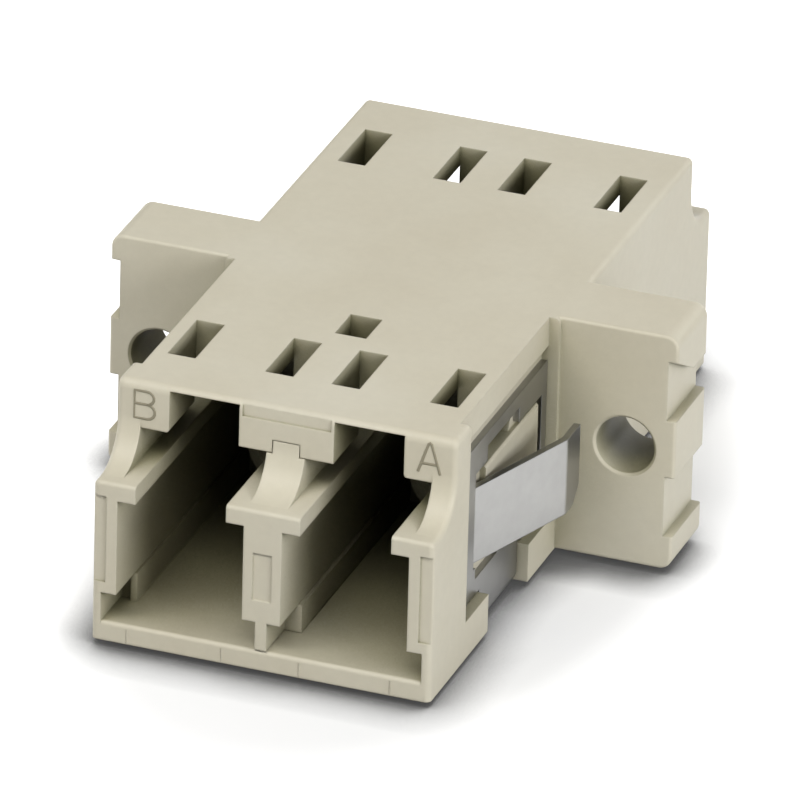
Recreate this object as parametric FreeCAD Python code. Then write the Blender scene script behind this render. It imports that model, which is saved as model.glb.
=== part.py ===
import FreeCAD, Part
import os

V = FreeCAD.Vector

# Duplex LC fibre adapter: a flanged housing, a front divider insert, two split sleeves and a spring clip.
# Millimetres. X runs across the two ports, Y along the fibres with the marked front at -Y, Z up.
# The origin is under the middle of the part, on the face that it stands on.

# ---- Ports: one outline, used from both ends
port_pitch = 6.25        # port axis to port axis
cavity_w = 4.80          # width of a plug cavity
cavity_h = 4.87          # floor to the underside of the latch ledges
ledge_t = 0.68           # thickness of the latch ledges
ledge_gap = 3.44         # opening between the two ledges of a port
channel_h = 1.25         # latch channel above the ledges
neck_w = 2.66            # slot in the roof that clears the latch lever
neck_h = 1.00            # how far that slot rises into the roof
neck_len = 7.30          # from the face of the roof to the end of that slot
neck_lead = 1.20         # length of the lead-in at the mouth of the slot
neck_lip = 0.15          # roof left above the lead-in

# ---- Housing walls
body_len = 29.70
floor_t = 0.76
roof_t = 1.80
side_wall = 0.925
setback = 2.20           # from the end of the housing to the face of the roof
ledge_r = 0.15           # round on the ends of the latch ledges
ramp_r = 1.65            # concave ramp that leads a plug's latch under the roof
nose_r = 0.35            # round on the front edge of the roof
tail_r = 0.15            # and on its rear edge
block_r = 0.12           # round on the outer roof blocks where a latch enters
lip_r = 0.15             # round on the edge of the floor
edge_r = 0.22            # round along the housing's outer edges
foot_slot_h = 1.13       # undercut along the floor at both mouths
foot_slot_len = 2.05
foot_slot_side = 0.35    # wall left beside the undercut
guide_y0 = 1.85          # low rails that centre a plug, from the end of the housing
guide_out = 0.10         # how far they stand out of the side walls
guide_in = 0.15          # how far they reach into the undercut
post_groove_w = 0.50     # shallow step down the outer edge of each outer post
post_groove_d = 0.08
post_groove_z0 = 2.32
post_groove_h = 3.42

# ---- Latch windows in the roof, two over each port at both ends
window_w = 1.07
window_len = 2.93
window_land = 2.54       # roof left between its face and a window
snap_window_w = 1.20     # small window over the insert's snap nub
snap_window_len = 1.66
snap_window_y = 8.62     # from the front end to the window

# ---- Mounting flange
flange_w = 21.86
flange_t = 3.17
flange_y0 = 13.05        # from the front end to the flange
hole_edge = 1.93         # middle of a screw hole, from the end of its ear
hole_d = 2.24
hole_chamfer = 0.09
ear_r = 0.50             # corners of the flange
ear_edge_r = 0.12        # round along its edges
tooth_h = 2.26           # middle tooth on the end of an ear
tooth_up = 0.16          # its middle, above the middle of the flange
notch_h = 2.38
notch_d = 0.37
notch_slope_len = 1.75   # the upper notch narrows from the front over this length
notch_slope_drop = 0.95

# ---- Web between front and rear: the insert's plate seats on the housing's wall
plate_t = 1.00
wall_t = 2.60
insert_gap = 0.03        # clearance all round the insert
nub_w = 0.90
nub_h = 0.60
nub_margin = 0.16        # nub to window, along the fibres
divider_foot = 0.15      # the divider thickens by this much beside the floor
stem_w = 0.44
tab_w = 1.00             # tongue of the insert that locates in the roof block
tab_h = 0.50
tab_len = 1.20
panel_w = 0.72           # shallow panel in the face of the divider
panel_z0 = 2.76
panel_h = 1.86
panel_d = 0.06
block_step_h = 0.58      # set-back band across the middle roof block
block_step_d = 0.08
block_step_w = 3.36

# ---- Split sleeves and the barrels that hold them
ferrule_d = 1.25
sleeve_wall = 0.24
sleeve_len = 6.80
sleeve_slot = 0.35
sleeve_play = 0.02       # radial play of a sleeve in its barrel
sleeve_end_play = 0.15
barrel_wall = 0.58
lip_t = 0.60             # inturned lip that keeps a sleeve in
lip_gap = 0.17           # radial room for a ferrule in the lip
lip_lead = 0.30

# ---- Spring clip, one bent strip
clip_t = 0.25
clip_bend = 0.15         # inner radius of its bends
clip_inset = 0.40        # outer face of the clip below the side of the housing
clip_len = 9.10          # its side plates, along the fibres
clip_end_gap = 0.07      # from the side plates to the rear end of their recess
clip_gap = 0.10          # room round the rest of the clip
clip_z0 = 1.56
clip_z1 = 7.66
strap_from = 2.40        # strap under the housing, from the front of the side plates
strap_len = 4.00
border_front = 1.70      # side plate left in front of its window
border_rear = 0.50
frame_z0 = 2.66          # window in a side plate
frame_h = 3.85
frame_notch_from = 1.20  # notch in the window's upper edge, from the front of the window
frame_notch_len = 3.30
frame_notch_h = 0.60
relief_from = 0.20       # relief below the root of the tongue
relief_len = 2.30
relief_h = 0.45
tongue_up = 0.30         # tongue above the lower edge of its window
tongue_h = 3.00
tongue_room = 0.65       # from the tongue's end to the end of its window
tongue_rise = 1.73
tongue_lip = 1.30
tongue_cut = 0.60
tongue_bend = 0.30

# ---- Recess for the clip in the front half of the housing
recess_end = 0.18        # rib left in front of the flange
recess_low = 0.05        # room under a side plate
recess_up = 0.55         # and above it
pad_from = 1.10          # raised pad in the clip's window, from the front of the window
pad_rear = 0.30          # room behind it
pad_low = 0.70           # and below it
pad_top = 0.20           # and above it
pad_rise = 0.23
pad_chamfer = 0.08
side_slot_from = 1.30    # slot above the pad, from the front of the window
side_slot_len = 3.20
side_slot_h = 0.90
side_slot_slant = 0.50

# ---- Places that follow from the sizes above
front = -body_len / 2
rear = body_len / 2
port_x = port_pitch / 2
port_z = floor_t + cavity_h / 2
divider_w = port_pitch - cavity_w
cavity_x = port_x + cavity_w / 2
body_w = 2 * (cavity_x + side_wall)
ledge_z = floor_t + cavity_h
ledge_top = ledge_z + ledge_t
roof_z = ledge_top + channel_h
body_h = roof_z + roof_t
ramp_from = setback - ramp_r
ramp_z1 = ledge_top + ramp_r
flange_front = front + flange_y0
flange_rear = flange_front + flange_t
hole_x = flange_w / 2 - hole_edge
seat_y = plate_t - (plate_t + wall_t) / 2
web_front = seat_y - plate_t
web_rear = seat_y + wall_t
sleeve_od = ferrule_d + 2 * sleeve_wall
barrel_bore = sleeve_od + 2 * sleeve_play
barrel_od = barrel_bore + 2 * barrel_wall
barrel_tip = sleeve_len / 2 + sleeve_end_play + lip_t
lip_bore = ferrule_d + 2 * lip_gap
clip_x = body_w / 2 - clip_inset
pocket_x = clip_x - clip_t
recess_rear = flange_front - recess_end
clip_rear = recess_rear - clip_end_gap
clip_front = clip_rear - clip_len
recess_front = clip_front - clip_gap
recess_z0 = clip_z0 - recess_low
recess_z1 = clip_z1 + recess_up
strap_front = clip_front + strap_from
strap_rear = strap_front + strap_len
frame_front = clip_front + border_front
frame_rear = clip_rear - border_rear
frame_z1 = frame_z0 + frame_h
pad_z1 = frame_z1 - pad_top
far = 2 * body_len


def box(x0, x1, y0, y1, z0, z1):
    return Part.makeBox(x1 - x0, y1 - y0, z1 - z0, V(x0, y0, z0))


def prism(points, plane, start, end):
    """Extrude a closed outline of (u, v) pairs drawn in plane 'xz', 'yz' or 'xy'."""
    order = {"xz": (0, 2, 1), "yz": (1, 2, 0), "xy": (0, 1, 2)}[plane]
    corners = []
    for u, v in points + points[:1]:
        corner = [0.0, 0.0, 0.0]
        corner[order[0]] = u
        corner[order[1]] = v
        corner[order[2]] = start
        corners.append(V(*corner))
    along = [0.0, 0.0, 0.0]
    along[order[2]] = end - start
    return Part.Face(Part.makePolygon(corners)).extrude(V(*along))


def mirrored(shapes, normal):
    """The shapes and their mirror images about the middle plane with this normal."""
    return shapes + [shape.mirror(V(0, 0, 0), normal) for shape in shapes]


def join(shapes):
    return shapes[0].multiFuse(shapes[1:]).removeSplitter()


def edges_where(shape, test):
    """Edges whose two ends both pass the test."""
    return [edge for edge in shape.Edges if all(test(vertex.Point) for vertex in edge.Vertexes)]


def cylinder_y(radius, x, z, y0, y1):
    return Part.makeCylinder(radius, y1 - y0, V(x, y0, z), V(0, 1, 0))


def cone_y(r0, r1, x, z, y0, y1):
    return Part.makeCone(r0, r1, y1 - y0, V(x, y0, z), V(0, 1, 0))


# ---------------------------------------------------------------------------- ledges and their ramps
def ramp_point(x, z):
    """Point of the concave ramp at this height."""
    return V(x, front + ramp_from + (ramp_r ** 2 - (ramp_z1 - z) ** 2) ** 0.5, z)


def ledge_nose(x, z0):
    """Front edge of the ledges seen from the side: up from this height, then round."""
    bend = 0.5 ** 0.5
    low = V(x, front, ledge_top - ledge_r)
    middle = V(x, front + ledge_r * (1 - bend), ledge_top - ledge_r * (1 - bend))
    return [Part.makeLine(V(x, front, z0), low), Part.Arc(low, middle, V(x, front + ledge_r, ledge_top)).toShape()]


def ramp_edges(x, z1):
    """Flat top of a ledge and the concave ramp from it up to this height."""
    start = V(x, front + ramp_from, ledge_top)
    ramp = Part.Arc(start, ramp_point(x, (ledge_top + z1) / 2), ramp_point(x, z1)).toShape()
    return [Part.makeLine(V(x, front + ledge_r, ledge_top), start), ramp]


def ramp_space(x0, x1):
    """Open room over the ledges, in front of the ramp and the face above it."""
    corners = [ramp_point(x0, ramp_z1), V(x0, front + setback, body_h), V(x0, front + ledge_r, body_h)]
    corners.append(V(x0, front + ledge_r, ledge_top))
    edges = ramp_edges(x0, ramp_z1) + [Part.makeLine(a, b) for a, b in zip(corners, corners[1:])]
    return Part.Face(Part.Wire(Part.__sortEdges__(edges))).extrude(V(x1 - x0, 0, 0))


# ---------------------------------------------------------------------------- housing
def end_outline(x, top_r):
    """Front end of the body seen from the side: lower face, ledge, concave ramp, roof face, round."""
    bend = 0.5 ** 0.5
    nose_low = V(x, front + setback, body_h - top_r)
    nose_mid = V(x, front + setback + top_r * (1 - bend), body_h - top_r * (1 - bend))
    nose_top = V(x, front + setback + top_r, body_h)
    lower = [Part.makeLine(V(x, 0, 0), V(x, front, 0))] + ledge_nose(x, 0) + ramp_edges(x, ramp_z1)
    return lower + [
        Part.makeLine(V(x, front + setback, ramp_z1), nose_low),
        Part.Arc(nose_low, nose_mid, nose_top).toShape(),
        Part.makeLine(nose_top, V(x, 0, body_h)),
    ]


def body_blank():
    """The whole body as one extrusion of its side outline, with its outer edges rounded."""
    near = end_outline(-body_w / 2, nose_r)
    rest = [edge.mirror(V(0, 0, 0), V(0, 1, 0)) for edge in end_outline(-body_w / 2, tail_r)]
    outline = Part.Wire(Part.__sortEdges__(near + rest))
    blank = Part.Face(outline).extrude(V(body_w, 0, 0)).removeSplitter()
    on_side = edges_where(blank, lambda p: abs(abs(p.x) - body_w / 2) < 1e-6)
    outer = [edge for edge in on_side if edge.BoundBox.ZMax > 1e-6]
    return blank.makeFillet(edge_r, [edge for edge in outer if edge.BoundBox.XLength < 1e-6])


def notch_tools():
    """The two notches in the end of the right-hand ear; the upper one narrows towards the rear."""
    tip = flange_w / 2
    near = body_h / 2 + tooth_up - tooth_h / 2
    lower = box(tip - notch_d, far, flange_front - 1, flange_rear + 1, near - notch_h, near)
    low = near + tooth_h
    high = low + notch_h
    slope_end = flange_front + notch_slope_len
    outline = [
        (flange_front - 1, low),
        (flange_rear + 1, low),
        (flange_rear + 1, high - notch_slope_drop),
        (slope_end, high - notch_slope_drop),
        (flange_front, high),
        (flange_front - 1, high),
    ]
    return [lower, prism(outline, "yz", tip - notch_d, far)]


def flange():
    """Plate with rounded corners and edges, and three teeth on each end."""
    tip = flange_w / 2
    plate = box(-tip, tip, flange_front, flange_rear, 0, body_h)
    corners = [edge for edge in plate.Edges if edge.BoundBox.YLength > flange_t / 2]
    plate = plate.makeFillet(ear_r, corners)
    rims = [edge for edge in plate.Edges if edge.BoundBox.YLength < flange_t / 2]
    plate = plate.makeFillet(ear_edge_r, rims)
    return plate.cut(mirrored(notch_tools(), V(1, 0, 0)))


def screw_holes():
    """Two plain holes with a small lead-in on both faces of the flange."""
    r = hole_d / 2
    z = body_h / 2
    tools = []
    for x in (-hole_x, hole_x):
        tools.append(cylinder_y(r, x, z, flange_front - 1, flange_rear + 1))
        tools.append(cone_y(r + hole_chamfer, r, x, z, flange_front, flange_front + hole_chamfer))
        tools.append(cone_y(r, r + hole_chamfer, x, z, flange_rear - hole_chamfer, flange_rear))
    return tools


def mouth_outline(x_left, x_right, gap):
    """Cross-section of a plug cavity: plug space, slot between the ledges, latch channel."""
    inset = (cavity_w - ledge_gap) / 2
    return [
        (x_left + gap, floor_t + gap),
        (x_right - gap, floor_t + gap),
        (x_right - gap, ledge_z - gap),
        (x_right - inset - gap, ledge_z - gap),
        (x_right - inset - gap, ledge_top + gap),
        (x_right - gap, ledge_top + gap),
        (x_right - gap, roof_z - gap),
        (x_left + gap, roof_z - gap),
        (x_left + gap, ledge_top + gap),
        (x_left + inset + gap, ledge_top + gap),
        (x_left + inset + gap, ledge_z - gap),
        (x_left + gap, ledge_z - gap),
    ]


def neck_slot(x):
    """Slot under the roof for the rising latch lever, with a sloping lead-in at the front face."""
    face = front + setback
    outline = [
        (face - 1, roof_z - 0.1),
        (face + neck_len, roof_z - 0.1),
        (face + neck_len, roof_z + neck_h),
        (face + neck_lead, roof_z + neck_h),
        (face, body_h - neck_lip),
        (face - 1, body_h - neck_lip),
    ]
    return prism(outline, "yz", x - neck_w / 2, x + neck_w / 2)


def latch_windows():
    """Four windows over the front pair of ports, set to both sides of each latch lever."""
    y0 = front + setback + window_land
    tools = []
    for x in (-port_x, port_x):
        for side in (-1, 1):
            middle = x + side * (neck_w + window_w) / 2
            x0 = middle - window_w / 2
            tools.append(box(x0, x0 + window_w, y0, y0 + window_len, roof_z - 0.1, body_h + 1))
    return tools


def block_rounds():
    """Rounds the lower inner edges of the two outer roof blocks, up to the windows."""
    bend = 0.5 ** 0.5
    x = port_x + neck_w / 2
    y0 = front + setback - 1
    start = V(x + block_r, y0, roof_z)
    middle = V(x + block_r * (1 - bend), y0, roof_z + block_r * (1 - bend))
    end = V(x, y0, roof_z + block_r)
    corners = [end, V(x - 0.1, y0, roof_z + block_r), V(x - 0.1, y0, roof_z - 0.1)]
    corners += [V(x + block_r, y0, roof_z - 0.1), start]
    edges = [Part.makeLine(a, b) for a, b in zip(corners, corners[1:])]
    edges.append(Part.Arc(start, middle, end).toShape())
    return mirrored([Part.Face(Part.Wire(edges)).extrude(V(0, window_land + 1.1, 0))], V(1, 0, 0))


def lip_round(x0, x1):
    """Rounds the front edge of the floor between two places."""
    bend = 0.5 ** 0.5
    low = V(x0, front, floor_t - lip_r)
    middle = V(x0, front + lip_r * (1 - bend), floor_t - lip_r * (1 - bend))
    high = V(x0, front + lip_r, floor_t)
    corners = [high, V(x0, front + lip_r, floor_t + 0.1), V(x0, front - 1, floor_t + 0.1)]
    corners += [V(x0, front - 1, floor_t - lip_r), low]
    edges = [Part.makeLine(a, b) for a, b in zip(corners, corners[1:])]
    edges.append(Part.Arc(low, middle, high).toShape())
    return Part.Face(Part.Wire(edges)).extrude(V(x1 - x0, 0, 0))


def guide_rails(gap):
    """Low rails along both side walls that centre a plug, widened by a clearance."""
    x0 = cavity_x - guide_out - gap
    y0 = front + guide_y0 - gap
    rail = box(x0, cavity_x + guide_in, y0, web_front + 0.1, floor_t - 0.1, floor_t + foot_slot_h + gap)
    return mirrored([rail], V(1, 0, 0))


def post_grooves():
    """Shallow steps down the outer edges of the two outer posts."""
    x0 = body_w / 2 - post_groove_w
    z0 = post_groove_z0
    tool = box(x0, far, front - 1, front + post_groove_d, z0, z0 + post_groove_h)
    return mirrored([tool], V(1, 0, 0))


def front_cuts():
    """Everything cut from the front half: one open bay that the insert divides into two ports."""
    deep = front + setback
    tools = [prism(mouth_outline(-cavity_x, cavity_x, 0), "xz", front - 1, seat_y)]
    tools.append(box(-cavity_x, cavity_x, front - 1, deep, ledge_top, body_h + 1))
    foot_x = body_w / 2 - foot_slot_side
    foot_end = front + foot_slot_len
    tools.append(box(-foot_x, foot_x, front - 1, foot_end, floor_t, floor_t + foot_slot_h))
    tools.append(lip_round(-foot_x, foot_x))
    half_tab = tab_w / 2 + insert_gap
    tools.append(box(-half_tab, half_tab, deep - 1, deep + tab_len, roof_z - 0.1, roof_z + tab_h))
    half_step = block_step_w / 2
    tools.append(box(-half_step, half_step, deep - 1, deep + block_step_d, body_h - block_step_h, body_h + 1))
    snap_y0 = front + snap_window_y
    half_snap = snap_window_w / 2
    tools.append(box(-half_snap, half_snap, snap_y0, snap_y0 + snap_window_len, roof_z - 0.1, body_h + 1))
    return tools


def rear_cuts():
    """The two rear ports, cut one by one so that their divider stays part of the housing."""
    tools = []
    deep = rear - setback
    foot_x = body_w / 2 - foot_slot_side
    for side in (-1, 1):
        x = side * port_x
        outline = mouth_outline(x - cavity_w / 2, x + cavity_w / 2, 0)
        tools.append(prism(outline, "xz", web_rear, rear + 1))
        xs = sorted([side * divider_w / 2, side * cavity_x])
        tools.append(box(xs[0], xs[1], deep, rear + 1, ledge_top, body_h + 1))
        xs = sorted([side * stem_w / 2, side * foot_x])
        tools.append(box(xs[0], xs[1], rear - foot_slot_len, rear + 1, floor_t, floor_t + foot_slot_h))
        tools.append(lip_round(xs[0], xs[1]).mirror(V(0, 0, 0), V(0, 1, 0)))
    return tools


def clip_passage():
    """Way round the underside for the strap: the core keeps corners clear of the clip's bends."""
    y0 = strap_front - clip_gap
    y1 = strap_rear + clip_gap
    around = box(-far, far, y0, y1, -1, recess_z0)
    core = box(-pocket_x, pocket_x, y0 - 1, y1 + 1, clip_t, recess_z0 + 1)
    low = edges_where(core, lambda p: abs(p.z - clip_t) < 1e-6)
    core = core.makeFillet(clip_bend + clip_gap, [edge for edge in low if edge.BoundBox.YLength > 1])
    return around.cut(core)


def side_recess():
    """Recess for a side plate on the right: a deep pocket under a shallower open band."""
    pocket = box(pocket_x, far, recess_front, recess_rear, recess_z0, recess_z1)
    band = box(clip_x, far, recess_front, recess_rear, recess_z1 - 0.1, body_h + 1)
    z1 = pad_z1 + side_slot_h
    s0 = frame_front + side_slot_from
    s1 = s0 + side_slot_len
    outline = [(s0, pad_z1), (s1 - side_slot_slant, pad_z1), (s1, z1), (s0, z1)]
    slot = prism(outline, "yz", cavity_x - 0.1, far)
    return [pocket, band, slot]


def side_pad():
    """Pad on the right-hand wall that stands in the clip's window, with a sloping top edge."""
    x1 = pocket_x + pad_rise
    z0 = frame_z0 + pad_low
    outline = [
        (pocket_x - 0.1, z0),
        (x1, z0),
        (x1, pad_z1 - pad_chamfer),
        (x1 - pad_chamfer, pad_z1),
        (pocket_x - 0.1, pad_z1),
    ]
    return prism(outline, "xz", frame_front + pad_from, frame_rear - pad_rear)


def barrel(x, y0, tip):
    """Barrel along +Y from y0 to its tip, with the inturned lip that keeps a sleeve in."""
    return cylinder_y(barrel_od / 2, x, port_z, y0, tip)


def barrel_bore_tools(x, y0, tip):
    """Sleeve bore from y0 up to the lip, then the ferrule's opening with its lead-in."""
    lead = lip_bore / 2 + lip_lead
    return [
        cylinder_y(barrel_bore / 2, x, port_z, y0, tip - lip_t),
        cylinder_y(lip_bore / 2, x, port_z, tip - lip_t - 0.1, tip + 1),
        cone_y(lip_bore / 2, lead, x, port_z, tip - lip_lead, tip),
    ]


def housing_shell():
    shape = join([body_blank(), flange()])
    tools = front_cuts() + rear_cuts()
    tools += mirrored(block_rounds(), V(0, 1, 0))
    tools += mirrored(latch_windows(), V(0, 1, 0))
    tools += mirrored([neck_slot(-port_x), neck_slot(port_x)], V(0, 1, 0))
    tools += mirrored(post_grooves(), V(0, 1, 0))
    tools += mirrored(side_recess(), V(1, 0, 0))
    tools += [clip_passage()]
    tools += screw_holes()
    shape = shape.cut(tools)
    adds = mirrored([side_pad()], V(1, 0, 0)) + mirrored(guide_rails(0), V(0, 1, 0))
    foot_x = divider_w / 2 + divider_foot
    adds.append(box(-foot_x, foot_x, web_rear - 0.1, rear - guide_y0, floor_t - 0.1, floor_t + foot_slot_h))
    for x in (-port_x, port_x):
        adds.append(barrel(x, web_rear - 0.1, barrel_tip))
    shape = join([shape] + adds)
    bores = []
    for x in (-port_x, port_x):
        bores += barrel_bore_tools(x, seat_y - 1, barrel_tip)
    return shape.cut(bores).removeSplitter()


# ---------------------------------------------------------------------------- insert
def divider():
    """Front divider with its latch ledges and the concave ramp up to the roof block."""
    half = divider_w / 2
    y1 = web_front + 0.1
    low = roof_z - insert_gap
    foot_z = floor_t + foot_slot_h
    edges = ledge_nose(-half, ledge_z) + ramp_edges(-half, low) + [
        Part.makeLine(ramp_point(-half, low), V(-half, y1, low)),
        Part.makeLine(V(-half, y1, low), V(-half, y1, foot_z)),
        Part.makeLine(V(-half, y1, foot_z), V(-half, front, foot_z)),
        Part.makeLine(V(-half, front, foot_z), V(-half, front, ledge_z)),
    ]
    wall = Part.Face(Part.Wire(Part.__sortEdges__(edges))).extrude(V(divider_w, 0, 0))
    ledge_x = port_x - ledge_gap / 2
    edges = ledge_nose(-ledge_x, ledge_z) + [
        Part.makeLine(V(-ledge_x, front + ledge_r, ledge_top), V(-ledge_x, y1, ledge_top)),
        Part.makeLine(V(-ledge_x, y1, ledge_top), V(-ledge_x, y1, ledge_z)),
        Part.makeLine(V(-ledge_x, y1, ledge_z), V(-ledge_x, front, ledge_z)),
    ]
    ledges = Part.Face(Part.Wire(Part.__sortEdges__(edges))).extrude(V(2 * ledge_x, 0, 0))
    foot_x = half + divider_foot
    foot = box(-foot_x, foot_x, front + guide_y0, y1, floor_t + insert_gap, foot_z)
    stem = box(-stem_w / 2, stem_w / 2, front, y1, floor_t + insert_gap, foot_z + 0.1)
    return [wall, ledges, foot, stem]


def locating_tab():
    """Tongue at the top of the ramp that locates in the notch of the roof block."""
    half = tab_w / 2
    y1 = front + setback + tab_len - insert_gap
    z0 = roof_z - insert_gap - 0.1
    tongue = box(-half, half, front + ramp_from, y1, z0, roof_z + tab_h - insert_gap)
    return tongue.cut(ramp_space(-half, half))


def snap_nub():
    """Wedge on top of the divider that snaps up into the small window in the roof."""
    y0 = front + snap_window_y + nub_margin
    y1 = y0 + snap_window_len - 2 * nub_margin
    top = roof_z + nub_h
    outline = [(y0, roof_z - 0.1), (y0, top), (y0 + (y1 - y0) / 2, top), (y1, roof_z - 0.1)]
    return prism(outline, "yz", -nub_w / 2, nub_w / 2)


def divider_insert():
    plate = prism(mouth_outline(-cavity_x, cavity_x, insert_gap), "xz", web_front, seat_y)
    adds = [plate] + divider() + [locating_tab(), snap_nub()]
    for x in (-port_x, port_x):
        adds += [barrel(x, -web_front - 0.1, barrel_tip).mirror(V(0, 0, 0), V(0, 1, 0))]
    shape = join(adds)
    panel_z1 = panel_z0 + panel_h
    tools = [box(-panel_w / 2, panel_w / 2, front - 1, front + panel_d, panel_z0, panel_z1)]
    tools += guide_rails(insert_gap)
    for x in (-port_x, port_x):
        for tool in barrel_bore_tools(x, -seat_y - 1, barrel_tip):
            tools.append(tool.mirror(V(0, 0, 0), V(0, 1, 0)))
    return shape.cut(tools).removeSplitter()


# ---------------------------------------------------------------------------- sleeves
def alignment_sleeve(x):
    """C-shaped sleeve with a slot along its top; it lies on the floor of its barrel."""
    z = port_z - sleeve_play
    half = sleeve_len / 2
    tube = cylinder_y(sleeve_od / 2, x, z, -half, half).cut(cylinder_y(ferrule_d / 2, x, z, -half - 1, half + 1))
    slot = box(x - sleeve_slot / 2, x + sleeve_slot / 2, -half - 1, half + 1, z, z + sleeve_od)
    return tube.cut(slot)


# ---------------------------------------------------------------------------- clip
def bent_strip(points, thickness, bend):
    """Face of a strip that follows a path in the XY plane, rounded at each bend of the path."""
    half = thickness / 2
    sides = [[], []]
    for i, point in enumerate(points):
        before = (point - points[i - 1]).normalize() if i else None
        after = (points[i + 1] - point).normalize() if i + 1 < len(points) else None
        for number, sign in enumerate((1, -1)):
            if before is None or after is None:
                run = before or after
                normal = V(-run.y, run.x, 0)
                sides[number].append([point + normal * (sign * half)])
                continue
            n0 = V(-before.y, before.x, 0)
            n1 = V(-after.y, after.x, 0)
            left_turn = before.cross(after).z > 0
            inner = (sign > 0) == left_turn
            radius = bend if inner else bend + thickness
            bisector = (n0 + n1).normalize()
            apex = point + bisector * (sign * half / bisector.dot(n0))
            cos_turn = before.dot(after)
            trim = radius * ((1 - cos_turn) / (1 + cos_turn)) ** 0.5
            start = apex - before * trim
            end = apex + after * trim
            towards = bisector * (1 if left_turn else -1)
            centre = apex + towards * (radius / towards.dot(n0 * (1 if left_turn else -1)))
            sides[number].append([start, centre - towards * radius, end])
    edges = []
    for side in sides:
        place = side[0][-1]
        for piece in side[1:]:
            edges.append(Part.makeLine(place, piece[0]))
            if len(piece) == 3:
                edges.append(Part.Arc(*piece).toShape())
            place = piece[-1]
    edges.append(Part.makeLine(sides[0][0][0], sides[1][0][0]))
    edges.append(Part.makeLine(sides[0][-1][-1], sides[1][-1][-1]))
    return Part.Face(Part.Wire(Part.__sortEdges__(edges)))


def clip_channel():
    """The strip bent to a U round the underside, before its plates are cut out."""
    x = clip_x - clip_t / 2
    z = clip_t / 2
    path = [V(-x, clip_z1, 0), V(-x, z, 0), V(x, z, 0), V(x, clip_z1, 0)]
    face = bent_strip(path, clip_t, clip_bend)
    face.rotate(V(0, 0, 0), V(1, 0, 0), 90)
    face.translate(V(0, clip_front, 0))
    return face.extrude(V(0, clip_len, 0))


def clip_openings():
    """Cut-outs of the right-hand plate: beside the strap, the window, its notch and the relief."""
    inside = clip_x - clip_t - 0.5
    tools = []
    for a, b in ((clip_front - 1, strap_front), (strap_rear, clip_rear + 1)):
        tools.append(box(-0.1, far, a, b, -1, clip_z0))
    n0 = frame_front + frame_notch_from
    r0 = frame_front + relief_from
    tools.append(box(inside, far, frame_front, frame_rear, frame_z0, frame_z1))
    tools.append(box(inside, far, n0, n0 + frame_notch_len, frame_z1 - 0.1, frame_z1 + frame_notch_h))
    tools.append(box(inside, far, r0, r0 + relief_len, frame_z0 - relief_h, frame_z0 + 0.1))
    return tools


def clip_tongue():
    """Sprung tongue on the right: leaves the window's front edge, slopes out and ends in a lip."""
    x = clip_x - clip_t / 2
    y = frame_front
    end = frame_rear - tongue_room
    path = [V(x, y - 0.6, 0), V(x, y, 0), V(x + tongue_rise, end - tongue_lip, 0), V(x + tongue_rise, end, 0)]
    face = bent_strip(path, clip_t, tongue_bend)
    z = frame_z0 + tongue_up
    face.translate(V(0, 0, z))
    tongue = face.extrude(V(0, 0, tongue_h))
    corner = [(end - tongue_cut, z - 1), (end + 1, z - 1), (end + 1, z + tongue_cut)]
    corner += [(end, z + tongue_cut), (end - tongue_cut, z)]
    return tongue.cut(prism(corner, "yz", clip_x, far))


def retaining_clip():
    shape = clip_channel().cut(mirrored(clip_openings(), V(1, 0, 0)))
    return join([shape] + mirrored([clip_tongue()], V(1, 0, 0)))


def main():
    os.makedirs("parts", exist_ok=True)
    nodes = {
        "housing_shell": housing_shell(),
        "divider_insert": divider_insert(),
        "alignment_sleeve_a": alignment_sleeve(port_x),
        "alignment_sleeve_b": alignment_sleeve(-port_x),
        "retaining_clip": retaining_clip(),
    }
    for name, shape in nodes.items():
        solids = shape.Solids
        if len(solids) != 1 or not solids[0].isValid():
            raise ValueError(name + " is not one valid solid: " + str(len(solids)))
        solids[0].exportStep("parts/" + name + ".step")
        print(name, round(solids[0].Volume, 3), solids[0].BoundBox)


main()
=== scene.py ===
import bpy
import math
from mathutils import Matrix, Vector


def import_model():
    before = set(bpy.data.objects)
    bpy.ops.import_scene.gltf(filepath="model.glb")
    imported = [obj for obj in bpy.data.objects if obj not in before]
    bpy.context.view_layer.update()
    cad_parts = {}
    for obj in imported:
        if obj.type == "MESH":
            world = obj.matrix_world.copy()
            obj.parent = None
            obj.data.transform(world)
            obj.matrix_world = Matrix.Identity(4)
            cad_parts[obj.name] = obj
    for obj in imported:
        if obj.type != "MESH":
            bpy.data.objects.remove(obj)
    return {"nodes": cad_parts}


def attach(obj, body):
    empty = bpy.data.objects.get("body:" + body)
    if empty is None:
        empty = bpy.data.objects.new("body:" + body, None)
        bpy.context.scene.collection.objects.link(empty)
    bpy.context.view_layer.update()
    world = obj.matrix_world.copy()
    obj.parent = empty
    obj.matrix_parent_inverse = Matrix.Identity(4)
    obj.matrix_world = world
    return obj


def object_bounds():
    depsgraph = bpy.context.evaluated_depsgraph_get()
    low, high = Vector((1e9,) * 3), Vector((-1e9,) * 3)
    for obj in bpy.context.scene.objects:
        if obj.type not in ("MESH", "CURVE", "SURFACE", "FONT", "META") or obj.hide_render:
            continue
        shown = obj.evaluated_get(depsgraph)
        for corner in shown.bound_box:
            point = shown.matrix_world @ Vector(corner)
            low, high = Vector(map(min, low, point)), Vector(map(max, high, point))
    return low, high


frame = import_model()
cad_low, cad_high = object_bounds()
nodes = frame["nodes"]
MM = 0.001

# Lengths below are millimetres, powers watts and angles degrees, unless a line says otherwise.

# ---- Colours, as sRGB 0-255
BEIGE = ((199, 192, 172), (203, 197, 178), (207, 202, 185))     # darkest cloud, middle, lightest
# port letters: darker than the plastic as painted shade of engraved grooves
MARK_SHADE = (140, 134, 114)
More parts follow.
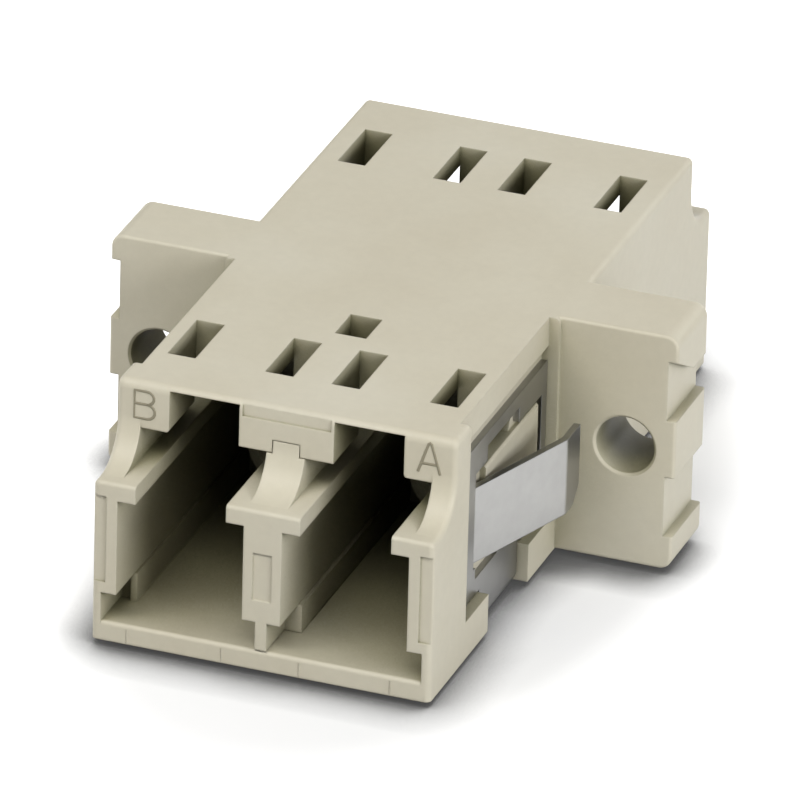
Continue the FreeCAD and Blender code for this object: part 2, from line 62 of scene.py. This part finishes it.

# ---- Soft edges and the painted shade in hollows
PLASTIC_EDGE = 0.09
MARK_EDGE = 0.02
STEEL_EDGE = 0.05
HOLLOW_REACH = 12.0          # how far off a wall still counts as closing a hollow
HOLLOW_CLOSED = 0.03         # openness that gives the darkest shade
HOUSING_OPEN = 0.74          # openness from which there is no shade
INSERT_OPEN = 0.36
STEEL_OPEN = 0.58
PLASTIC_DARKEST = 0.06
STEEL_DARKEST = 0.75
HOLLOW_WARMTH = 1.3          # power on the blue of the painted shade: above 1 is warmer

# ---- Port marks and witness lines
ROOF_SETBACK = 2.20          # face of the roof blocks, from the front end
MARK_WIDTH = 0.11
MARK_HEIGHT = 0.03
B_PLACE = (-5.78, 7.94)      # lower left corner of each letter, as x and z
A_PLACE = (4.98, 7.92)
SEAM_PLACES = (-5.10, -1.48, 1.48, 4.93)
SEAM_ENDS = (0.05, 0.58)
SEAM_WIDTH = 0.07
SEAM_HEIGHT = 0.012

# ---- Floor
FLOOR_HALF = 600.0
FLOOR_GAP = 0.25             # floor below the part's underside
FLOOR_BOUNCE = 0.50          # its white as the part sees it
FLOOR_WHITE = 0.50           # and as the camera does
FLOOR_GLOW = 0.45            # glow that the camera sees, near the part
FLOOR_GLOW_FAR = 0.96        # and away from it
OVAL_ACROSS = 9.0            # half axes and middle of the oval where the glow starts to rise; the lower glow inside it is painted shade round the part
OVAL_ALONG = 17.0
OVAL_X = 1.0
OVAL_Y = -2.0
OVAL_END = 1.45              # where the rise ends, as a share of the oval
CONTACT_REACH = 2.2          # painted contact shadow: a dark line where the part meets the floor
CONTACT_LEAN = (0.14, 0.34, 0.93)
CONTACT_CLOSED = 0.5
CONTACT_OPEN = 0.97
CONTACT_DARKEST = 0.12

# ---- Light: name, place and size in metres, power, colour
LAMP_AIM = (0.0, 0.0, 0.004)
LAMPS = (
    ("front_box", (-0.04, -0.20, 0.31), (0.40, 0.14), 1.10, (1.0, 0.99, 0.96)),
    ("right_box", (0.37, -0.13, 0.14), (0.26, 0.16), 1.10, (0.98, 0.99, 1.0)),
    ("rear_box", (0.04, 0.37, 0.08), (0.30, 0.10), 0.45, (1.0, 1.0, 1.0)),
    ("left_box", (-0.36, 0.08, 0.13), (0.26, 0.14), 0.55, (1.0, 1.0, 1.0)),
)
HORIZON = 0.05
ZENITH = 0.16

# ---- Camera, placed from a point above the front end of the part
CAMERA_AZIMUTH = 19.617
CAMERA_ELEVATION = 26.555
CAMERA_ROLL = 1.597
CAMERA_DISTANCE = 498.807
CAMERA_RIGHT = 4.997
CAMERA_UP = 9.567
CAMERA_LIFT = 0.06
CAMERA_LENS = 630.87
CAMERA_SENSOR = 36.0


# ---------------------------------------------------------------------------- node helpers
def new_material(name):
    mat = bpy.data.materials.new(name)
    mat.use_nodes = True
    tree = mat.node_tree
    tree.nodes.clear()
    return mat, tree, tree.nodes.new("ShaderNodeOutputMaterial")


def add(tree, kind, sockets=None, **settings):
    """New node with these settings, and with these values on its inputs."""
    node = tree.nodes.new(kind)
    for key, value in settings.items():
        setattr(node, key, value)
    for key, value in (sockets or {}).items():
        node.inputs[key].default_value = value
    return node


def link(tree, a, b):
    tree.links.new(a, b)


def place_of(tree, output="Object"):
    """Texture coordinates."""
    return add(tree, "ShaderNodeTexCoord").outputs[output]


def noise(tree, coords, scale, detail=2.0, rough=0.5):
    node = add(tree, "ShaderNodeTexNoise", {"Scale": scale, "Detail": detail, "Roughness": rough})
    link(tree, coords, node.inputs["Vector"])
    return node.outputs["Fac"]


def ramp(tree, source, stops):
    """Colours along the source's value; a single number is a grey."""
    node = add(tree, "ShaderNodeValToRGB")
    while len(node.color_ramp.elements) < len(stops):
        node.color_ramp.elements.new(0.5)
    for element, (place, colour) in zip(node.color_ramp.elements, stops):
        element.position = place
        element.color = (colour, colour, colour, 1.0) if isinstance(colour, float) else (*colour, 1.0)
    link(tree, source, node.inputs["Fac"])
    return node.outputs["Color"]


def remap(tree, source, low, high, to_low, to_high, **settings):
    """The source's value, moved from one range to another and held at its ends."""
    sockets = {"From Min": low, "From Max": high, "To Min": to_low, "To Max": to_high}
    node = add(tree, "ShaderNodeMapRange", sockets, **settings)
    link(tree, source, node.inputs["Value"])
    return node.outputs["Result"]


def combine(tree, operation, a, b):
    """Sum on values; the second one may be a plain number."""
    node = add(tree, "ShaderNodeMath", operation=operation)
    link(tree, a, node.inputs[0])
    if isinstance(b, float):
        node.inputs[1].default_value = b
    else:
        link(tree, b, node.inputs[1])
    return node.outputs[0]


def multiplied(tree, a, b):
    """One colour times another."""
    mix = add(tree, "ShaderNodeMix", data_type="RGBA", blend_type="MULTIPLY")
    mix.inputs["Factor"].default_value = 1.0
    link(tree, a, mix.inputs["A"])
    link(tree, b, mix.inputs["B"])
    return mix.outputs["Result"]


def linear(srgb):
    """sRGB 0-255 to linear."""
    shares = [value / 255.0 for value in srgb]
    return tuple(c / 12.92 if c <= 0.04045 else ((c + 0.055) / 1.055) ** 2.4 for c in shares)


def put_on(names, mat):
    """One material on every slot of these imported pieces."""
    for name in names:
        obj = nodes[name]
        if not obj.material_slots:
            obj.data.materials.append(mat)
        for slot in obj.material_slots:
            slot.material = mat


# ---------------------------------------------------------------------------- materials
def openness(tree, reach, low, high, darkest, own=False, lean=None):
    """1 in the open, falling to the darkest value deep in an opening or close to a wall. Used to paint
    shade into a colour.
    """
    sky = add(tree, "ShaderNodeAmbientOcclusion", {"Distance": reach * MM}, samples=6, only_local=own)
    if lean:
        look = add(tree, "ShaderNodeCombineXYZ", dict(zip("XYZ", Vector(lean).normalized())))
        link(tree, look.outputs["Vector"], sky.inputs["Normal"])
    return remap(tree, sky.outputs["AO"], low, high, darkest, 1.0)


def painted_hollow_shade(tree, colour, darkest, open_at, own=True):
    """The colour with painted shade, darker and warmer deep in an opening. The opening may be one of its
    own piece only.
    """
    shade = openness(tree, HOLLOW_REACH, HOLLOW_CLOSED, open_at, darkest, own)
    tint = add(tree, "ShaderNodeCombineColor")
    link(tree, shade, tint.inputs["Red"])
    link(tree, shade, tint.inputs["Green"])
    link(tree, combine(tree, "POWER", shade, HOLLOW_WARMTH), tint.inputs["Blue"])
    return multiplied(tree, colour, tint.outputs["Color"])


def surface(tree, out, colour, rough, height, strength, depth, edge=None, sockets=None):
    """Principled surface with a fine relief, and with soft edges where a radius is given."""
    shader = add(tree, "ShaderNodeBsdfPrincipled", sockets)
    link(tree, colour, shader.inputs["Base Color"])
    link(tree, rough, shader.inputs["Roughness"])
    bump = add(tree, "ShaderNodeBump", {"Strength": strength, "Distance": depth * MM})
    link(tree, height, bump.inputs["Height"])
    if edge:
        soft = add(tree, "ShaderNodeBevel", {"Radius": edge * MM}, samples=6)
        link(tree, soft.outputs["Normal"], bump.inputs["Normal"])
    link(tree, bump.outputs["Normal"], shader.inputs["Normal"])
    link(tree, shader.outputs["BSDF"], out.inputs["Surface"])


def moulded_plastic(name, colours, edge=PLASTIC_EDGE, open_at=HOUSING_OPEN, own=True):
    """Fine-textured moulded plastic: cloudy colour, satin roughness, spark-eroded grain, soft edges,
    painted shade in hollows.
    """
    mat, tree, out = new_material(name)
    coords = place_of(tree)
    cloud = noise(tree, coords, 160.0, 3.0)
    fine = noise(tree, coords, 2600.0, 3.0, 0.6)
    colour = ramp(tree, cloud, list(zip((0.25, 0.5, 0.78), [linear(c) for c in colours])))
    speck = ramp(tree, fine, [(0.3, 0.965), (0.7, 1.0)])
    # painted shade: the colour turns darker and warmer deep in openings and close to walls
    colour = painted_hollow_shade(tree, multiplied(tree, colour, speck), PLASTIC_DARKEST, open_at, own)
    gloss = ramp(tree, cloud, [(0.2, 0.44), (0.8, 0.56)])
    surface(tree, out, colour, gloss, fine, 0.12, 0.02, edge, {"IOR": 1.5, "Specular IOR Level": 0.42})
    return mat


def rolled_steel(name):
    """Cold-rolled stainless strip: grey metal with faint mottling, a soft grain and painted shade in
    hollows.
    """
    mat, tree, out = new_material(name)
    coords = place_of(tree)
    stretch = add(tree, "ShaderNodeMapping", {"Scale": (1.0, 0.16, 1.0)})
    link(tree, coords, stretch.inputs["Vector"])
    grain = noise(tree, stretch.outputs["Vector"], 5200.0, 2.0)
    blotch = noise(tree, coords, 900.0, 4.0, 0.62)
    colour = ramp(tree, blotch, [(0.3, (0.345, 0.343, 0.336)), (0.7, (0.395, 0.393, 0.385))])
    # painted shade in openings, milder than on the plastic
    colour = painted_hollow_shade(tree, colour, STEEL_DARKEST, STEEL_OPEN)
    gloss = ramp(tree, blotch, [(0.3, 0.30), (0.7, 0.36)])
    surface(tree, out, colour, gloss, grain, 0.10, 0.01, STEEL_EDGE, {"Metallic": 1.0})
    return mat


def zirconia(name):
    """Ground white ceramic of the split sleeves."""
    mat, tree, out = new_material(name)
    fine = noise(tree, place_of(tree), 1800.0, 3.0)
    colour = ramp(tree, fine, [(0.3, (0.80, 0.79, 0.76)), (0.7, (0.88, 0.87, 0.85))])
    gloss = ramp(tree, fine, [(0.3, 0.20), (0.7, 0.30)])
    surface(tree, out, colour, gloss, fine, 0.08, 0.005)
    return mat


plastic = moulded_plastic("moulded_beige", BEIGE)
put_on(["housing_shell"], plastic)
put_on(["divider_insert"], moulded_plastic("moulded_beige_insert", BEIGE, open_at=INSERT_OPEN, own=False))
put_on(["retaining_clip"], rolled_steel("spring_strip"))
put_on(["alignment_sleeve_a", "alignment_sleeve_b"], zirconia("sleeve_ceramic"))


# ---------------------------------------------------------------------------- port marks and seams
def bead(name, strokes, place, width, height, mat):
    """Raised line of that width along strokes of (x, z) points, on a face that looks to -Y."""
    curve = bpy.data.curves.new(name, "CURVE")
    curve.dimensions = "3D"
    curve.bevel_depth = 0.5 * width * MM
    curve.bevel_resolution = 3
    for points, closed in strokes:
        spline = curve.splines.new("POLY")
        spline.points.add(len(points) - 1)
        for point, (x, z) in zip(spline.points, points):
            point.co = (x * MM, 0.0, z * MM, 1.0)
        spline.use_cyclic_u = closed
    shape = bpy.data.objects.new(name + "_line", curve)
    bpy.context.scene.collection.objects.link(shape)
    bpy.context.view_layer.update()
    mesh = bpy.data.meshes.new_from_object(shape.evaluated_get(bpy.context.evaluated_depsgraph_get()))
    bpy.data.objects.remove(shape)
    bpy.data.curves.remove(curve)
    for vertex in mesh.vertices:
        vertex.co.y *= height / (0.5 * width)
    mesh.name = name
    mesh.materials.clear()
    mesh.materials.append(mat)
    obj = bpy.data.objects.new(name, mesh)
    bpy.context.scene.collection.objects.link(obj)
    obj.location = place
    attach(obj, "root")


def bowl(z0, z1, reach, steps=7):
    """Right-hand bowl of a letter, from its upper end to its lower one."""
    r = 0.5 * (z1 - z0)
    angles = [math.radians(90 - 180 * i / steps) for i in range(steps + 1)]
    return [(reach - r + r * math.cos(angle), z0 + r + r * math.sin(angle)) for angle in angles]


def port_marks():
    """The generic port letters on the faces of the two outer roof blocks."""
    face = cad_low.y + ROOF_SETBACK * MM
    # the letters' darker colour is painted shade of engraved grooves, drawn on raised lines
    mark = moulded_plastic("mark_shadow", (MARK_SHADE, MARK_SHADE, MARK_SHADE), MARK_EDGE)
    width, height, waist = 0.78, 1.08, 0.57
    outline = [(0.0, 0.0), (0.0, height)] + bowl(waist, height, width - 0.04) + bowl(0.0, waist, width)
    letter_b = [(outline, True), ([(0.0, waist), (width - 0.3, waist)], False)]
    legs = [(0.0, 0.0), (0.38, 1.13), (0.44, 1.18), (0.50, 1.13), (0.84, 0.0)]
    letter_a = [(legs, False), ([(0.12, 0.36), (0.70, 0.36)], False)]
    for name, strokes, (x, z) in (("port_mark_b", letter_b, B_PLACE), ("port_mark_a", letter_a, A_PLACE)):
        bead(name, strokes, (x * MM, face, z * MM), MARK_WIDTH, MARK_HEIGHT, mark)


def lip_seams():
    """Faint witness lines of the mould's inserts on the edge of the floor."""
    line = [(0.0, z) for z in SEAM_ENDS]
    for number, x in enumerate(SEAM_PLACES):
        place = (x * MM, cad_low.y, 0.0)
        bead("lip_seam_%d" % number, [(line, False)], place, SEAM_WIDTH, SEAM_HEIGHT, plastic)


port_marks()
lip_seams()


# ---------------------------------------------------------------------------- stage and light
def seen_directly(tree, kinds):
    """1 on rays of these kinds."""
    paths = add(tree, "ShaderNodeLightPath")
    result = paths.outputs[kinds[0]]
    for kind in kinds[1:]:
        result = combine(tree, "MAXIMUM", result, paths.outputs[kind])
    return result


def distance_from_part(tree):
    """Place on the floor as a share of the oval round the part, 1 on the oval."""
    oval = add(tree, "ShaderNodeVectorMath", operation="MULTIPLY_ADD")
    oval.inputs[1].default_value = (1 / (OVAL_ACROSS * MM), 1 / (OVAL_ALONG * MM), 0.0)
    oval.inputs[2].default_value = (-OVAL_X / OVAL_ACROSS, -OVAL_Y / OVAL_ALONG, 0.0)
    link(tree, place_of(tree), oval.inputs[0])
    length = add(tree, "ShaderNodeVectorMath", operation="LENGTH")
    link(tree, oval.outputs["Vector"], length.inputs[0])
    return length.outputs["Value"]


def floor():
    """White table that keeps the part's shadow from the lamps, and has a painted contact shadow and
    painted shade close round the part. Past these the camera sees it glow white.
    """
    half = FLOOR_HALF * MM
    corners = [(-half, -half, 0), (half, -half, 0), (half, half, 0), (-half, half, 0)]
    mesh = bpy.data.meshes.new("floor")
    mesh.from_pydata(corners, [], [(0, 1, 2, 3)])
    obj = bpy.data.objects.new("floor", mesh)
    bpy.context.scene.collection.objects.link(obj)
    obj.location.z = cad_low.z - FLOOR_GAP * MM
    mat, tree, out = new_material("white_table")
    seen = seen_directly(tree, ("Is Camera Ray", "Is Glossy Ray", "Is Transmission Ray"))
    # painted contact shadow: the floor darkens close to the part, most in front of it and to its left
    clear = openness(tree, CONTACT_REACH, CONTACT_CLOSED, CONTACT_OPEN, CONTACT_DARKEST, lean=CONTACT_LEAN)
    shade = add(tree, "ShaderNodeMix", data_type="RGBA")
    shade.inputs["A"].default_value = (FLOOR_BOUNCE, FLOOR_BOUNCE, FLOOR_BOUNCE, 1.0)
    link(tree, combine(tree, "MULTIPLY", clear, FLOOR_WHITE), shade.inputs["B"])
    link(tree, seen, shade.inputs["Factor"])
    diffuse = add(tree, "ShaderNodeBsdfDiffuse")
    link(tree, shade.outputs["Result"], diffuse.inputs["Color"])
    # painted shade round the part: the glow stays low inside the oval and rises outside it
    far = remap(tree, distance_from_part(tree), 1.0, OVAL_END, FLOOR_GLOW, FLOOR_GLOW_FAR,
                interpolation_type="SMOOTHSTEP")
    level = combine(tree, "MULTIPLY", combine(tree, "MULTIPLY", seen, far), clear)
    glow = add(tree, "ShaderNodeEmission", {"Color": (1.0, 1.0, 1.0, 1.0)})
    link(tree, level, glow.inputs["Strength"])
    both = add(tree, "ShaderNodeAddShader")
    link(tree, diffuse.outputs["BSDF"], both.inputs[0])
    link(tree, glow.outputs["Emission"], both.inputs[1])
    link(tree, both.outputs["Shader"], out.inputs["Surface"])
    mesh.materials.append(mat)


def world():
    """Soft studio dome, brighter overhead than at the horizon; the camera sees it white."""
    studio = bpy.data.worlds.new("studio")
    bpy.context.scene.world = studio
    studio.use_nodes = True
    tree = studio.node_tree
    tree.nodes.clear()
    out = tree.nodes.new("ShaderNodeOutputWorld")
    split = add(tree, "ShaderNodeSeparateXYZ")
    link(tree, place_of(tree, "Generated"), split.inputs["Vector"])
    soft = add(tree, "ShaderNodeBackground", {"Color": (1.0, 1.0, 1.0, 1.0)})
    link(tree, remap(tree, split.outputs["Z"], 0.0, 1.0, HORIZON, ZENITH), soft.inputs["Strength"])
    white = add(tree, "ShaderNodeBackground", {"Color": (1.0, 1.0, 1.0, 1.0), "Strength": 1.0})
    mix = add(tree, "ShaderNodeMixShader")
    link(tree, seen_directly(tree, ("Is Camera Ray", "Is Transmission Ray")), mix.inputs["Fac"])
    link(tree, soft.outputs["Background"], mix.inputs[1])
    link(tree, white.outputs["Background"], mix.inputs[2])
    link(tree, mix.outputs["Shader"], out.inputs["Surface"])


def softbox(name, place, size, power, colour):
    """Rectangular lamp that looks at the part."""
    data = bpy.data.lights.new(name, "AREA")
    data.shape = "RECTANGLE"
    data.size, data.size_y = size
    data.energy = power
    data.color = colour
    obj = bpy.data.objects.new(name, data)
    bpy.context.scene.collection.objects.link(obj)
    obj.location = place
    obj.rotation_euler = (Vector(LAMP_AIM) - Vector(place)).to_track_quat("-Z", "Y").to_euler()


floor()
world()
for lamp in LAMPS:
    softbox(*lamp)


# ---------------------------------------------------------------------------- camera
def camera():
    """Long lens from the front right, looking down on the marked end."""
    azimuth = math.radians(CAMERA_AZIMUTH)
    elevation = math.radians(CAMERA_ELEVATION)
    roll = math.radians(CAMERA_ROLL)
    forward = Vector((-math.sin(azimuth) * math.cos(elevation),
                      math.cos(azimuth) * math.cos(elevation), -math.sin(elevation)))
    side = forward.cross(Vector((0, 0, 1))).normalized()
    top = side.cross(forward)
    right = math.cos(roll) * side + math.sin(roll) * top
    up = -math.sin(roll) * side + math.cos(roll) * top
    place = right * (CAMERA_RIGHT * MM) + up * (CAMERA_UP * MM) - forward * (CAMERA_DISTANCE * MM)
    place.y += cad_low.y
    place.z += CAMERA_LIFT * MM
    data = bpy.data.cameras.new("camera")
    data.sensor_width = CAMERA_SENSOR
    data.lens = CAMERA_LENS
    data.clip_start = 0.01
    data.clip_end = 5.0
    obj = bpy.data.objects.new("camera", data)
    bpy.context.scene.collection.objects.link(obj)
    turn = Matrix((right, up, -forward)).transposed()
    obj.matrix_world = Matrix.Translation(place) @ turn.to_4x4()
    bpy.context.scene.camera = obj


camera()
bpy.context.scene.view_settings.view_transform = "Standard"
